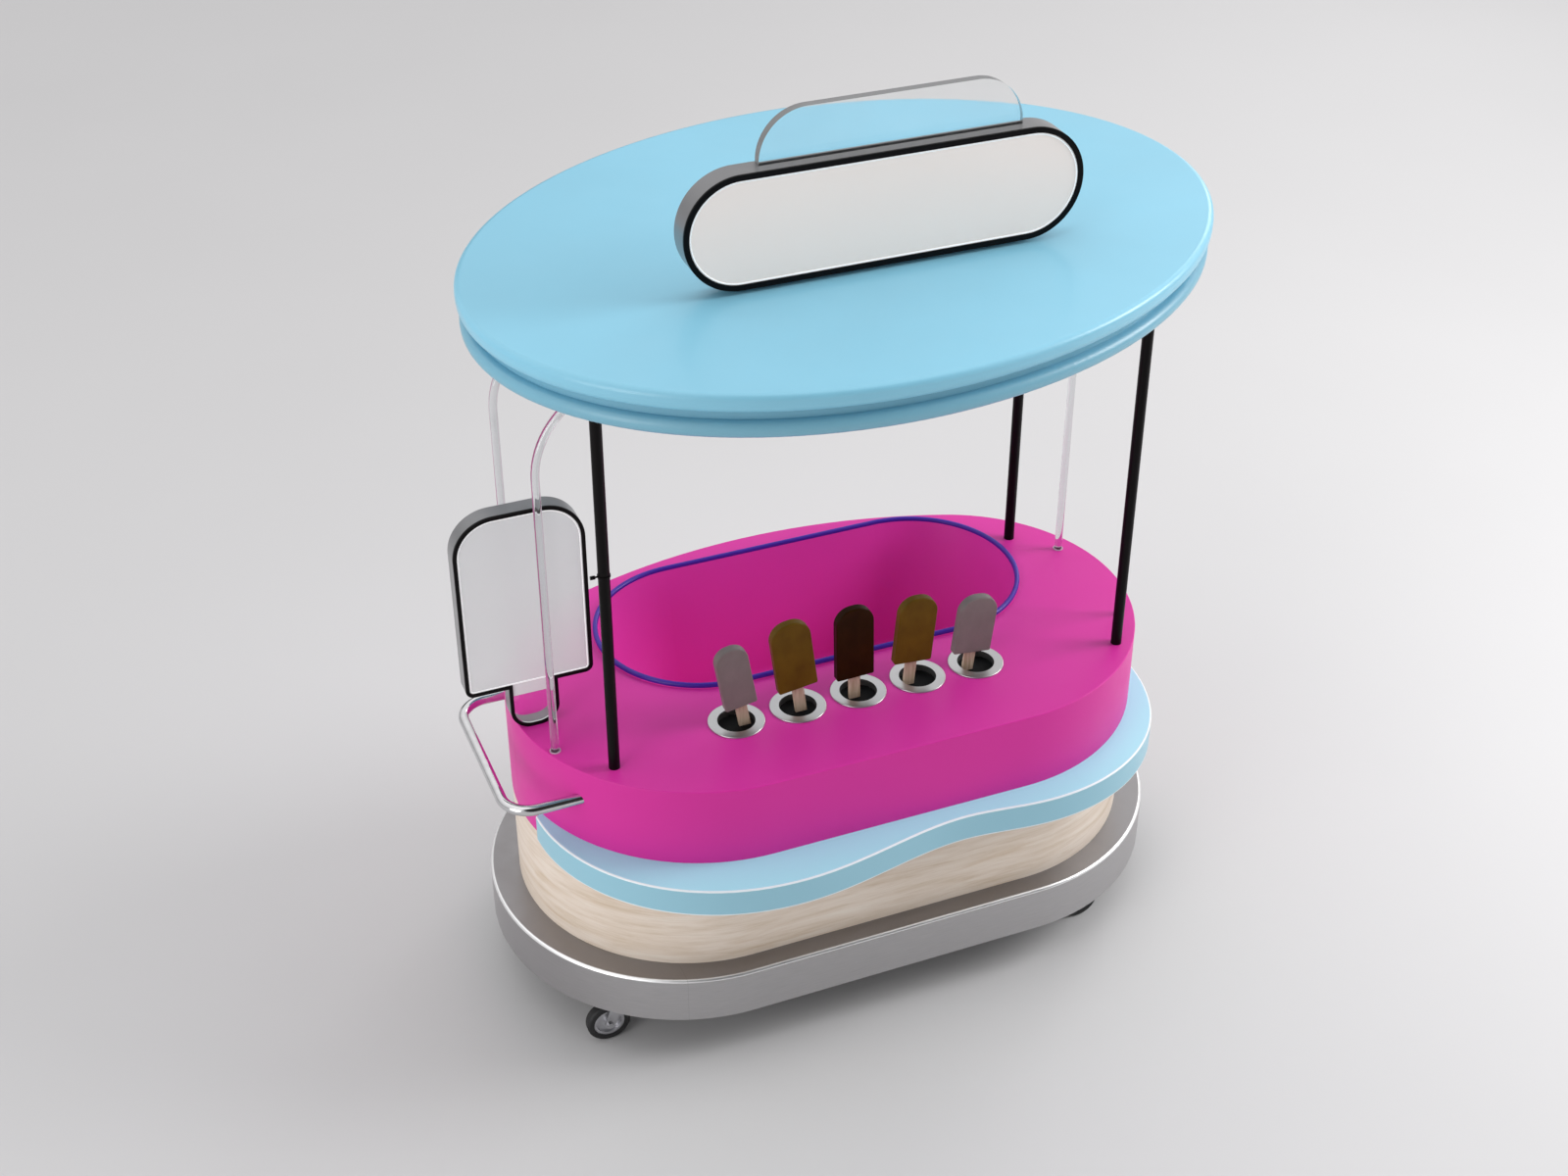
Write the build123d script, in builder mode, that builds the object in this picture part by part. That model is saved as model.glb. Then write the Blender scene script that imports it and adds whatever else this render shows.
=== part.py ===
from build123d import *
import os
from math import atan2, cos, radians, sin, sqrt

# An ice pop cart, in millimetres. The origin is on the floor below the middle of the base.
# +X runs along the cart, away from the push handle, and -Y is the customers' side.

# Casters
wheel_diameter = 125
tyre_width = 32
tyre_depth = 18
tyre_shoulder = 8
caster_trail = 35
caster_height = 156
caster_left_x = -768
caster_left_y = -362
caster_right_x = 690
caster_right_y = -408
caster_plate_size = 80
caster_plate_thickness = 5
swivel_race_diameter = 60
swivel_race_height = 7
kingpin_diameter = 12
crown_thickness = 7
crown_diameter = 64
fork_sheet = 4
fork_eye_radius = 15
axle_diameter = 10
axle_head_height = 6
axle_head_radius = 9.5
hub_radius = 15
rim_depth = 8
rim_width = 26
web_thickness = 10

# Base
ground_clearance = 150
base_length = 2000
base_width = 1126
base_height = 145
base_sheet = 2
base_edge_radius = 9
frame_rail_height = 60
frame_rail_width = 40
frame_box_size = 80
frame_tube_wall = 4

# Cabinet, wave slab and counter
cabinet_length = 1834
cabinet_width = 1000
cabinet_height = 302
cabinet_wall_thickness = 18
slab_thickness = 85
slab_edge_radius = 5
slab_skin = 12
slab_seat_width = 40
counter_length = 1836
counter_width = 1094
counter_height = 237
counter_wall = 6
counter_edge_radius = 3
counter_back_bulge = 29
counter_back_corner_trim = 47

# How far the slab stands out past the counter, at places along its front
slab_reach_left_shoulder = 40
slab_reach_left_corner = 87
slab_reach_left = 116
slab_reach_left_crest = 124
slab_reach_slope = 85
slab_reach_waist = 55
slab_reach_right = 76
slab_reach_right_crest = 92
slab_reach_right_corner = 82
slab_reach_right_shoulder = 40
slab_left_end_angle = 17
slab_left_end_reach = 20
slab_right_end_angle = 5

# Ice well
well_length = 1256
well_width = 586
well_centre_x = 35
well_centre_y = 195
well_depth = 400
well_taper = 90
well_wall = 4
well_floor_radius = 40
well_flange_thickness = 3
bead_width = 15
bead_height = 11
jacket_gap = 22
jacket_sheet = 3

# Ring cups, their inserts and the ice pops
cup_count = 5
cup_pitch = 178
cup_row_centre_x = -13
cup_row_y = -265
cup_flange_diameter = 155
cup_flange_thickness = 4
cup_bore = 103
cup_wall = 4
cup_depth = 120
insert_height = 100
pop_leans = [-9.5, -7.6, -1.4, 4.7, 6.5]
pop_offsets = [21, 7, -12, -27, -25]
bar_feet_above_counter = [53, 67, 58, 63, 47]
bar_heights = [195, 218, 225, 206, 179]
bar_widths = [92, 113, 109, 112, 113]
bar_thickness = 26
bar_top_radius = 50
bar_foot_radius = 6
bar_edge_radius = 4
stick_width = 32
stick_thickness = 9
stick_in_bar = 70
stick_below_counter = 60

# Posts, clamp and clear arches
post_diameter = 30
post_tube_wall = 2.5
post_left_x = -733
post_front_right_x = 752
post_back_right_x = 721
post_front_y = -327
post_back_y = 274
post_socket_depth = 20
post_boss_diameter = 64
clamp_height_above_counter = 596
clamp_collar_wall = 2
clamp_collar_height = 5
clamp_knob_diameter = 10
clamp_knob_length = 12
arch_rod_diameter = 22
arch_left_x = -856
arch_right_x = 830
arch_front_y = -205
arch_back_y = 165
arch_bend_radius = 235
arch_shoulder_run = 197
arch_shoulder_drop = 212
ferrule_flange_diameter = 30
ferrule_flange_thickness = 2
ferrule_wall = 2
ferrule_depth = 44
ferrule_floor = 4

# Roof
roof_length = 2050
roof_width = 1560
roof_turn = 13.9
roof_centre_x = 37
roof_centre_y = -14
roof_height = 2180
roof_upper_thickness = 50
roof_core_thickness = 24
roof_lower_thickness = 41
roof_core_inset = 30
roof_lower_inset = 6
roof_band_width = 55
roof_skin = 4
roof_top_edge_radius = 14
roof_under_edge_radius = 24
roof_lower_edge_radius = 18

# Roof sign
sign_length = 1038
sign_height = 290
sign_depth = 66
sign_sheet = 3
sign_rim_width = 14
sign_rim_depth = 6
sign_face_thickness = 5
sign_face_recess = 3
sign_centre_x = 36
sign_centre_y = -239
sign_foot_height = 10
sign_foot_diameter = 20
sign_foot_spacing = 578
crest_length = 680
crest_rise = 128
crest_thickness = 24
crest_corner_radius = 122
crest_slot_depth = 10
crest_centre_x = 57
crest_setback = 14

# Menu board
board_width = 347
board_body_height = 535
board_neck_width = 133
board_neck_height = 136
board_neck_shift = 8
board_depth = 52
board_front_y = -80
board_centre_x = -876.5
board_sheet = 3
board_rim_width = 10
board_rim_depth = 6
board_face_thickness = 6
board_face_recess = 3
board_face_reach = 27
board_top_radius = 110
board_foot_radius = 22
board_neck_radius = 58

# Push handle: its reach is past the counter's end, and its height is above the wave slab
handle_tube_diameter = 30
handle_tube_wall = 2
handle_arm_spacing = 516
handle_centre_y = -43
handle_reach_x = 98
handle_bend_radius = 78
handle_height = 138
handle_inside_length = 60

# Clearances
running_fit = 0.1
seat_fit = 0.3
loose_fit = 1.0
stick_fit = 0.4
swivel_gap = 0.5
hub_side_gap = 0.5

# Levels and outlines that follow from the sizes above
base_top = ground_clearance + base_height
slab_bottom = base_top + cabinet_height
slab_top = slab_bottom + slab_thickness
counter_top = slab_top + counter_height
handle_z = slab_top + handle_height
roof_upper_bottom = roof_height - roof_upper_thickness
roof_lower_top = roof_upper_bottom - roof_core_thickness
roof_bottom = roof_lower_top - roof_lower_thickness
sign_bottom = roof_height + sign_foot_height
sign_front_y = sign_centre_y - sign_depth / 2
sign_middle_z = sign_bottom + sign_height / 2
axle_height = wheel_diameter / 2
counter_radius = counter_width / 2
counter_arc_x = counter_length / 2 - counter_radius
cup_xs = [cup_row_centre_x + (i - (cup_count - 1) / 2) * cup_pitch for i in range(cup_count)]
post_places = {
    "front_left": (post_left_x, post_front_y),
    "front_right": (post_front_right_x, post_front_y),
    "back_right": (post_back_right_x, post_back_y),
}
caster_places = {
    "front_left": (caster_left_x, caster_left_y),
    "front_right": (caster_right_x, caster_right_y),
    "back_right": (-caster_left_x, -caster_left_y),
    "back_left": (-caster_right_x, -caster_right_y),
}
arch_feet = [(x, y) for x in (arch_left_x, arch_right_x) for y in (arch_front_y, arch_back_y)]

os.makedirs("parts", exist_ok=True)


def save(part, name):
    """Label a finished piece and write it under its name."""
    part.label = name
    export_step(part, f"parts/{name}.step")


def top_edges(part):
    """The edges round the highest face of a piece."""
    return part.faces().sort_by(Axis.Z)[-1].edges()


def upright(y, x=0, z=0):
    """A plane that faces the customers, with its own X along the cart and its own Y upwards."""
    return Plane(origin=(x, y, z), x_dir=(1, 0, 0), z_dir=(0, -1, 0))


def pop_plane(index, sideways):
    """The plane of a leaning ice pop: facing the customers, or square to its stick."""
    lean = radians(pop_leans[index])
    origin = (cup_xs[index] + pop_offsets[index], cup_row_y, counter_top)
    across = (cos(lean), 0, -sin(lean))
    along = (sin(lean), 0, cos(lean))
    return Plane(origin=origin, x_dir=across, z_dir=(0, -1, 0) if sideways else along)


# Base shell: a stainless steel pan, open below
with BuildPart() as base_shell:
    with BuildSketch(Plane.XY.offset(ground_clearance)):
        SlotOverall(base_length, base_width)
    extrude(amount=base_height)
    fillet(top_edges(base_shell.part), base_edge_radius)
    with BuildSketch(Plane.XY.offset(ground_clearance)):
        SlotOverall(base_length - 2 * base_sheet, base_width - 2 * base_sheet)
    extrude(amount=base_height - base_edge_radius, mode=Mode.SUBTRACT)
    with BuildSketch(Plane.XY.offset(base_top - base_edge_radius)):
        inner_edge = 2 * (base_sheet + base_edge_radius)
        SlotOverall(base_length - inner_edge, base_width - inner_edge)
    extrude(amount=base_edge_radius - base_sheet, mode=Mode.SUBTRACT)
save(base_shell.part, "base_shell")

# Base frame: a ring of tubes under the deck with one cross tube, and a box above each caster
frame_top = base_top - base_sheet
rail_bottom = frame_top - frame_rail_height


def frame_ring(inset):
    """The tubes seen from above, or the hollow inside them."""
    half_width = frame_rail_width / 2 - inset
    with BuildSketch() as outside:
        Polygon(*caster_places.values(), align=None)
        offset(amount=half_width, kind=Kind.INTERSECTION)
    with BuildSketch() as inside:
        Polygon(*caster_places.values(), align=None)
        offset(amount=-half_width, kind=Kind.INTERSECTION)
    with BuildSketch() as ring:
        add(outside.sketch)
        add(inside.sketch, mode=Mode.SUBTRACT)
        Rectangle(2 * half_width, -caster_left_y - caster_right_y)
    return ring.sketch


with BuildPart() as base_frame:
    with BuildSketch(Plane.XY.offset(rail_bottom)):
        add(frame_ring(0))
    extrude(amount=frame_rail_height)
    with BuildSketch(Plane.XY.offset(caster_height)):
        with Locations(*caster_places.values()):
            Rectangle(frame_box_size, frame_box_size)
    extrude(amount=frame_top - caster_height)
    with BuildSketch(Plane.XY.offset(rail_bottom + frame_tube_wall)):
        add(frame_ring(frame_tube_wall))
    extrude(amount=frame_rail_height - 2 * frame_tube_wall, mode=Mode.SUBTRACT)
    with BuildSketch(Plane.XY.offset(caster_height + frame_tube_wall)):
        with Locations(*caster_places.values()):
            Rectangle(frame_box_size - 2 * frame_tube_wall, frame_box_size - 2 * frame_tube_wall)
    extrude(amount=frame_top - caster_height - 2 * frame_tube_wall, mode=Mode.SUBTRACT)
save(base_frame.part, "base_frame")

# Caster plates: four plates, each with its fixed swivel race below it
plate_bottom = caster_height - caster_plate_thickness
race_bottom = plate_bottom - swivel_race_height
with BuildPart() as caster_plates:
    with BuildSketch(Plane.XY.offset(plate_bottom)):
        with Locations(*caster_places.values()):
            RectangleRounded(caster_plate_size, caster_plate_size, caster_plate_size / 12)
    extrude(amount=caster_plate_thickness)
    with BuildSketch(Plane.XY.offset(race_bottom)):
        with Locations(*caster_places.values()):
            Circle(swivel_race_diameter / 2)
    extrude(amount=swivel_race_height)
    with BuildSketch(Plane.XY.offset(race_bottom)):
        with Locations(*caster_places.values()):
            Circle(kingpin_diameter / 2 + running_fit)
    extrude(amount=swivel_race_height + caster_plate_thickness, mode=Mode.SUBTRACT)
save(caster_plates.part, "caster_plates")

# Casters: fork, axle bolt, wheel core and tyre, trailing towards the push handle
crown_top = race_bottom - swivel_gap
crown_bottom = crown_top - crown_thickness
hub_half = tyre_width / 2 + 2
leg_inner = hub_half + hub_side_gap
leg_outer = leg_inner + fork_sheet
rim_radius = wheel_diameter / 2 - tyre_depth


def build_caster(place, x, y):
    wheel_x = x - caster_trail
    side = upright(y, wheel_x, axle_height)

    with BuildPart() as fork:
        with BuildSketch(Plane.XY.offset(crown_bottom)):
            with Locations((x, y)):
                Circle(crown_diameter / 2)
        extrude(amount=crown_thickness)
        with BuildSketch(Plane.XY.offset(crown_top)):
            with Locations((x, y)):
                Circle(kingpin_diameter / 2)
        extrude(amount=caster_height - crown_top)
        for leg in (upright(y - leg_inner, x), upright(y + leg_outer, x)):
            shoulder = sqrt((crown_diameter / 2) ** 2 - leg_outer ** 2)
            with BuildSketch(leg):
                Polygon(
                    (-shoulder, crown_top),
                    (shoulder, crown_top),
                    (fork_eye_radius - caster_trail, axle_height),
                    (-fork_eye_radius - caster_trail, axle_height),
                    align=None,
                )
                with Locations((-caster_trail, axle_height)):
                    Circle(fork_eye_radius)
                    Circle(axle_diameter / 2 + running_fit, mode=Mode.SUBTRACT)
            extrude(amount=fork_sheet)
    save(fork.part, f"caster_{place}_fork")

    with BuildPart() as axle:
        with BuildSketch(side):
            Circle(axle_diameter / 2)
        extrude(amount=leg_outer + axle_head_height / 2, both=True)
        for face in (side.offset(leg_outer), side.offset(-leg_outer - axle_head_height)):
            with BuildSketch(face):
                RegularPolygon(axle_head_radius, 6)
            extrude(amount=axle_head_height)
    save(axle.part, f"caster_{place}_axle")

    with BuildPart() as wheel:
        with BuildSketch(side):
            Circle(rim_radius)
            Circle(rim_radius - rim_depth, mode=Mode.SUBTRACT)
        extrude(amount=rim_width / 2, both=True)
        with BuildSketch(side):
            Circle(rim_radius - rim_depth / 2)
        extrude(amount=web_thickness / 2, both=True)
        with BuildSketch(side):
            Circle(hub_radius)
        extrude(amount=hub_half, both=True)
        with BuildSketch(side):
            Circle(axle_diameter / 2 + running_fit)
        extrude(amount=hub_half, both=True, mode=Mode.SUBTRACT)
    save(wheel.part, f"caster_{place}_wheel")

    with BuildPart() as tyre:
        with BuildSketch(side):
            Circle(wheel_diameter / 2)
        extrude(amount=tyre_width / 2, both=True)
        fillet(tyre.edges().filter_by(GeomType.CIRCLE), tyre_shoulder)
        with BuildSketch(side):
            Circle(rim_radius)
        extrude(amount=tyre_width / 2, both=True, mode=Mode.SUBTRACT)
    save(tyre.part, f"caster_{place}_tyre")


for caster_place, (caster_x, caster_y) in caster_places.items():
    build_caster(caster_place, caster_x, caster_y)

# Cabinet: a drum of bent plywood standing on the deck
with BuildPart() as cabinet_wall:
    with BuildSketch(Plane.XY.offset(base_top)):
        SlotOverall(cabinet_length, cabinet_width)
        SlotOverall(
            cabinet_length - 2 * cabinet_wall_thickness,
            cabinet_width - 2 * cabinet_wall_thickness,
            mode=Mode.SUBTRACT,
        )
    extrude(amount=cabinet_height)
save(cabinet_wall.part, "cabinet_wall")

# Well outlines at any depth below the counter, grown sideways by some thickness


def well_outline(depth, grow, mode=Mode.ADD):
    inset = well_taper * depth / well_depth
    with Locations((well_centre_x, well_centre_y)):
        SlotOverall(well_length + 2 * (grow - inset), well_width + 2 * (grow - inset), mode=mode)


liner_outer = well_wall
jacket_inner = liner_outer + jacket_gap
jacket_outer = jacket_inner + jacket_sheet

# The counter seen from above has round ends, a straight front and a back that is one shallow
# arc between two tighter corners. The wave slab's back follows it inside the counter's skirt.
left, right = -1, 1
back_corner_radius = counter_radius - counter_back_corner_trim
back_corner_x = counter_length / 2 - back_corner_radius
back_y = counter_radius + counter_back_bulge
back_arc_square = back_corner_x ** 2 + back_y ** 2 - back_corner_radius ** 2
back_arc_radius = back_arc_square / (2 * (back_y - back_corner_radius))
back_corner_turn = atan2(back_arc_radius - back_y, back_corner_x)
slab_inset = counter_wall + seat_fit


def front_end_point(side, angle, reach):
    """A point off one of the counter's round ends, at an angle from the end's tip towards the front."""
    turn = radians(angle)
    radius = counter_radius + reach
    return (side * (counter_arc_x + radius * cos(turn)), -radius * sin(turn))


def front_side_point(share, reach):
    """A point off the counter's straight front, at a share of its half length."""
    return (share * counter_arc_x, -counter_radius - reach)


def front_end_arc(side, from_angle, inset):
    """A round end's edge from an angle on its front up to its tip, drawn in by an inset."""
    ThreePointArc(
        front_end_point(side, from_angle, -inset),
        front_end_point(side, from_angle / 2, -inset),
        front_end_point(side, 0, -inset),
    )


def counter_back(inset):
    """The counter's back from tip to tip, drawn in by an inset."""
    corner_radius = back_corner_radius - inset

    def corner_point(side, turn):
        return (side * (back_corner_x + corner_radius * cos(turn)), corner_radius * sin(turn))

    for side in (left, right):
        ThreePointArc(
            front_end_point(side, 0, -inset),
            corner_point(side, back_corner_turn / 2),
            corner_point(side, back_corner_turn),
        )
    ThreePointArc(
        corner_point(left, back_corner_turn),
        (0, back_y - inset),
        corner_point(right, back_corner_turn),
    )


def counter_outline(inset):
    with BuildSketch() as outline:
        with BuildLine():
            Line(front_end_point(left, 90, -inset), front_end_point(right, 90, -inset))
            front_end_arc(left, 90, inset)
            front_end_arc(right, 90, inset)
            counter_back(inset)
        make_face()
    return outline.sketch


def slab_outline():
    with BuildSketch() as outline:
        with BuildLine():
            Line(
                front_end_point(left, slab_left_end_angle, -slab_inset),
                front_end_point(left, slab_left_end_angle, slab_left_end_reach),
            )
            Spline(
                front_end_point(left, slab_left_end_angle, slab_left_end_reach),
                front_end_point(left, 25, slab_reach_left_shoulder),
                front_end_point(left, 49, slab_reach_left_corner),
                front_end_point(left, 75, slab_reach_left),
                front_side_point(-0.75, slab_reach_left_crest),
                front_side_point(-0.14, slab_reach_slope),
                front_side_point(0.46, slab_reach_waist),
                front_side_point(1.02, slab_reach_right),
                front_end_point(right, 65, slab_reach_right_crest),
                front_end_point(right, 43, slab_reach_right_corner),
                front_end_point(right, 23, slab_reach_right_shoulder),
                front_end_point(right, slab_right_end_angle, -slab_inset),
            )
            front_end_arc(left, slab_left_end_angle, slab_inset)
            front_end_arc(right, slab_right_end_angle, slab_inset)
            counter_back(slab_inset)
        make_face()
    return outline.sketch


# Wave slab: its front edge swings out past the counter and in again, and its back stays
# inside the counter's skirt. Below, it is hollowed out inside the cabinet wall.
with BuildPart() as wave_slab:
    with BuildSketch(Plane.XY.offset(slab_bottom)):
        add(slab_outline())
    extrude(amount=slab_thickness)
    slab_faces = wave_slab.part.faces().sort_by(Axis.Z)
    level_edges = slab_faces[0].edges() + slab_faces[-1].edges()
    fillet(level_edges.filter_by(GeomType.BSPLINE), slab_edge_radius)
    with BuildSketch(Plane.XY.offset(slab_bottom)):
        SlotOverall(cabinet_length - 2 * slab_seat_width, cabinet_width - 2 * slab_seat_width)
    extrude(amount=slab_thickness - slab_skin, mode=Mode.SUBTRACT)
    with BuildSketch(Plane.XY.offset(slab_top - post_socket_depth - slab_skin)):
        with Locations(*post_places.values()):
            Circle(post_boss_diameter / 2)
    extrude(amount=post_socket_depth + slab_skin)
    with BuildSketch(Plane.XY.offset(slab_bottom)):
        well_outline(counter_top - slab_top, jacket_outer + loose_fit)
    extrude(amount=slab_thickness, mode=Mode.SUBTRACT)
    with BuildSketch(Plane.XY.offset(slab_top - post_socket_depth)):
        with Locations(*post_places.values()):
            Circle(post_diameter / 2 + seat_fit)
    extrude(amount=post_socket_depth, mode=Mode.SUBTRACT)
save(wave_slab.part, "wave_slab")

# Counter shell: a hollow top body whose skirt covers the slab's edge at the ends and back
ferrule_sleeve_radius = arch_rod_diameter / 2 + seat_fit + ferrule_wall
with BuildPart() as counter_shell:
    with BuildSketch(Plane.XY.offset(slab_top)):
        add(counter_outline(0))
    extrude(amount=counter_height)
    fillet(top_edges(counter_shell.part), counter_edge_radius)
    with BuildSketch(Plane.XY.offset(slab_top)):
        add(counter_outline(counter_wall))
    extrude(amount=counter_height - counter_wall, mode=Mode.SUBTRACT)
    with BuildSketch(Plane.XY.offset(slab_bottom)):
        add(counter_outline(0))
        add(counter_outline(counter_wall), mode=Mode.SUBTRACT)
        add(slab_outline(), mode=Mode.SUBTRACT)
    extrude(amount=slab_thickness)
    with BuildSketch(Plane.XY.offset(counter_top - counter_wall)):
        well_outline(0, liner_outer + loose_fit)
        with Locations(*[(x, cup_row_y) for x in cup_xs]):
            Circle(cup_bore / 2 + cup_wall + seat_fit)
        with Locations(*post_places.values()):
            Circle(post_diameter / 2 + seat_fit)
        with Locations(*arch_feet):
            Circle(ferrule_sleeve_radius + seat_fit)
    extrude(amount=counter_wall, mode=Mode.SUBTRACT)
    arm_holes = Plane(origin=(-counter_arc_x, handle_centre_y, handle_z), x_dir=(0, 1, 0), z_dir=(-1, 0, 0))
    with BuildSketch(arm_holes):
        with GridLocations(handle_arm_spacing, 0, 2, 1):
            Circle(handle_tube_diameter / 2 + seat_fit)
    extrude(amount=counter_radius, mode=Mode.SUBTRACT)
save(counter_shell.part, "counter_shell")

# Well liner: a tapered tub hanging by its flange
with BuildPart() as well_liner:
    with BuildSketch(Plane.XY.offset(counter_top)):
        well_outline(0, liner_outer)
    with BuildSketch(Plane.XY.offset(counter_top - well_depth - well_wall)):
        well_outline(well_depth + well_wall, liner_outer)
    loft()
    with BuildSketch(Plane.XY.offset(counter_top)):
        well_outline(0, bead_width)
    extrude(amount=well_flange_thickness)
    with BuildSketch(Plane.XY.offset(counter_top + well_flange_thickness)):
        well_outline(-well_flange_thickness, 0)
    with BuildSketch(Plane.XY.offset(counter_top - well_depth)):
        well_outline(well_depth, 0)
    loft(mode=Mode.SUBTRACT)
    liner_floors = well_liner.faces().filter_by(Axis.Z).sort_by(Axis.Z)
    fillet(liner_floors[1].edges(), well_floor_radius)
save(well_liner.part, "well_liner")

# Well jacket: the thin outer wall of the insulated tub, turned in to the liner at its top
jacket_top = 2 * counter_wall
jacket_floor = well_depth + well_wall + jacket_gap
with BuildPart() as well_jacket:
    with BuildSketch(Plane.XY.offset(counter_top - jacket_top)):
        well_outline(jacket_top, jacket_outer)
    with BuildSketch(Plane.XY.offset(counter_top - jacket_floor - jacket_sheet)):
        well_outline(jacket_floor + jacket_sheet, jacket_outer)
    loft()
    with BuildSketch(Plane.XY.offset(counter_top - jacket_top - jacket_sheet)):
        well_outline(jacket_top + jacket_sheet, jacket_inner)
    with BuildSketch(Plane.XY.offset(counter_top - jacket_floor)):
        well_outline(jacket_floor, jacket_inner)
    loft(mode=Mode.SUBTRACT)
    with BuildSketch(Plane.XY.offset(counter_top - jacket_top)):
        well_outline(jacket_top, liner_outer + seat_fit)
    with BuildSketch(Plane.XY.offset(counter_top - jacket_top - 2 * jacket_sheet)):
        well_outline(jacket_top + 2 * jacket_sheet, liner_outer + seat_fit)
    loft(mode=Mode.SUBTRACT)
save(well_jacket.part, "well_jacket")

# Well bead: a round trim on the tub's flange
with BuildPart() as well_bead:
    with BuildSketch(Plane.XY.offset(counter_top + well_flange_thickness)):
        well_outline(0, bead_width)
        well_outline(-well_flange_thickness, 0, Mode.SUBTRACT)
    extrude(amount=bead_height)
    fillet(top_edges(well_bead.part), bead_width * 0.45)
save(well_bead.part, "well_bead")

# Ring cups: flanged steel cups hung in the counter
for cup_index, cup_x in enumerate(cup_xs):
    with BuildPart() as ring_cup:
        with BuildSketch(Plane.XY.offset(counter_top)):
            with Locations((cup_x, cup_row_y)):
                Circle(cup_flange_diameter / 2)
        extrude(amount=cup_flange_thickness)
        fillet(top_edges(ring_cup.part), cup_flange_thickness / 2)
        with BuildSketch(Plane.XY.offset(counter_top)):
            with Locations((cup_x, cup_row_y)):
                Circle(cup_bore / 2 + cup_wall)
        extrude(amount=-cup_depth)
        with BuildSketch(Plane.XY.offset(counter_top - cup_depth + cup_wall)):
            with Locations((cup_x, cup_row_y)):
                Circle(cup_bore / 2)
        extrude(amount=cup_depth + cup_flange_thickness, mode=Mode.SUBTRACT)
    save(ring_cup.part, f"ring_cup_{cup_index + 1}")

# Cup inserts: plugs in the cups, each with a slot at its stick's lean
cup_floor = counter_top - cup_depth + cup_wall
with BuildPart() as cup_inserts:
    with BuildSketch(Plane.XY.offset(cup_floor)):
        with Locations(*[(x, cup_row_y) for x in cup_xs]):
            Circle(cup_bore / 2 - seat_fit)
    extrude(amount=insert_height)
    for pop_index in range(cup_count):
        with BuildSketch(pop_plane(pop_index, False).offset(-stick_below_counter - stick_fit)):
            Rectangle(stick_width + 2 * stick_fit, stick_thickness + 2 * stick_fit)
        extrude(amount=cup_depth, mode=Mode.SUBTRACT)
save(cup_inserts.part, "cup_inserts")

# Ice pops: each a bar moulded round the top of a flat stick
def stick_profile(index):
    stick_length = bar_feet_above_counter[index] + stick_in_bar + stick_below_counter
    with Locations((0, stick_length / 2 - stick_below_counter)):
        RectangleRounded(stick_width, stick_length, stick_width / 5)


for pop_index in range(cup_count):
    face_plane = pop_plane(pop_index, True)
    with BuildPart() as pop_bar:
        with BuildSketch(face_plane) as bar_profile:
            with Locations((0, bar_feet_above_counter[pop_index] + bar_heights[pop_index] / 2)):
                Rectangle(bar_widths[pop_index], bar_heights[pop_index])
            shoulder_radius = min(bar_top_radius, 0.45 * bar_widths[pop_index])
            fillet(bar_profile.vertices().group_by(Axis.Y)[-1], shoulder_radius)
            fillet(bar_profile.vertices().group_by(Axis.Y)[0], bar_foot_radius)
        extrude(amount=bar_thickness / 2, both=True)
        bar_faces = pop_bar.part.faces().sort_by(Axis.Y)
        fillet(bar_faces[0].edges() + bar_faces[-1].edges(), bar_edge_radius)
        with BuildSketch(face_plane):
            stick_profile(pop_index)
        extrude(amount=stick_thickness / 2, both=True, mode=Mode.SUBTRACT)
    save(pop_bar.part, f"pop_{pop_index + 1}_bar")

    with BuildPart() as pop_stick:
        with BuildSketch(face_plane):
            stick_profile(pop_index)
        extrude(amount=stick_thickness / 2, both=True)
    save(pop_stick.part, f"pop_{pop_index + 1}_stick")

# Posts: from their sockets in the slab, through the counter, to their sockets in the roof
for post_place, (column_x, column_y) in post_places.items():
    with BuildPart() as post:
        with BuildSketch(Plane.XY.offset(slab_top - post_socket_depth)):
            with Locations((column_x, column_y)):
                Circle(post_diameter / 2)
                Circle(post_diameter / 2 - post_tube_wall, mode=Mode.SUBTRACT)
        extrude(amount=roof_bottom - slab_top + 2 * post_socket_depth)
    save(post.part, f"post_{post_place}")

# Post clamp: a split collar with a thumb screw on the front left post
clamp_x, clamp_y = post_places["front_left"]
clamp_z = counter_top + clamp_height_above_counter
with BuildPart() as post_clamp:
    with BuildSketch(Plane.XY.offset(clamp_z)):
        with Locations((clamp_x, clamp_y)):
            Circle(post_diameter / 2 + clamp_collar_wall)
    extrude(amount=clamp_collar_height)
    clamp_middle = clamp_z + clamp_collar_height / 2
    with BuildSketch(Plane(origin=(clamp_x, clamp_y, clamp_middle), x_dir=(0, 1, 0), z_dir=(-1, 0, 0))):
        Circle(clamp_collar_height / 2 - running_fit)
    extrude(amount=post_diameter / 2 + clamp_collar_wall + clamp_knob_length)
    knob_x = clamp_x - post_diameter / 2 - clamp_collar_wall - clamp_knob_length / 2
    with BuildSketch(Plane(origin=(knob_x, clamp_y, clamp_middle), x_dir=(0, 1, 0), z_dir=(-1, 0, 0))):
        RegularPolygon(clamp_knob_diameter / 2, 12)
    extrude(amount=clamp_knob_length)
    with BuildSketch(Plane.XY.offset(clamp_z)):
        with Locations((clamp_x, clamp_y)):
            Circle(post_diameter / 2 + running_fit)
    extrude(amount=clamp_collar_height, mode=Mode.SUBTRACT)
save(post_clamp.part, "post_clamp")

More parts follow.
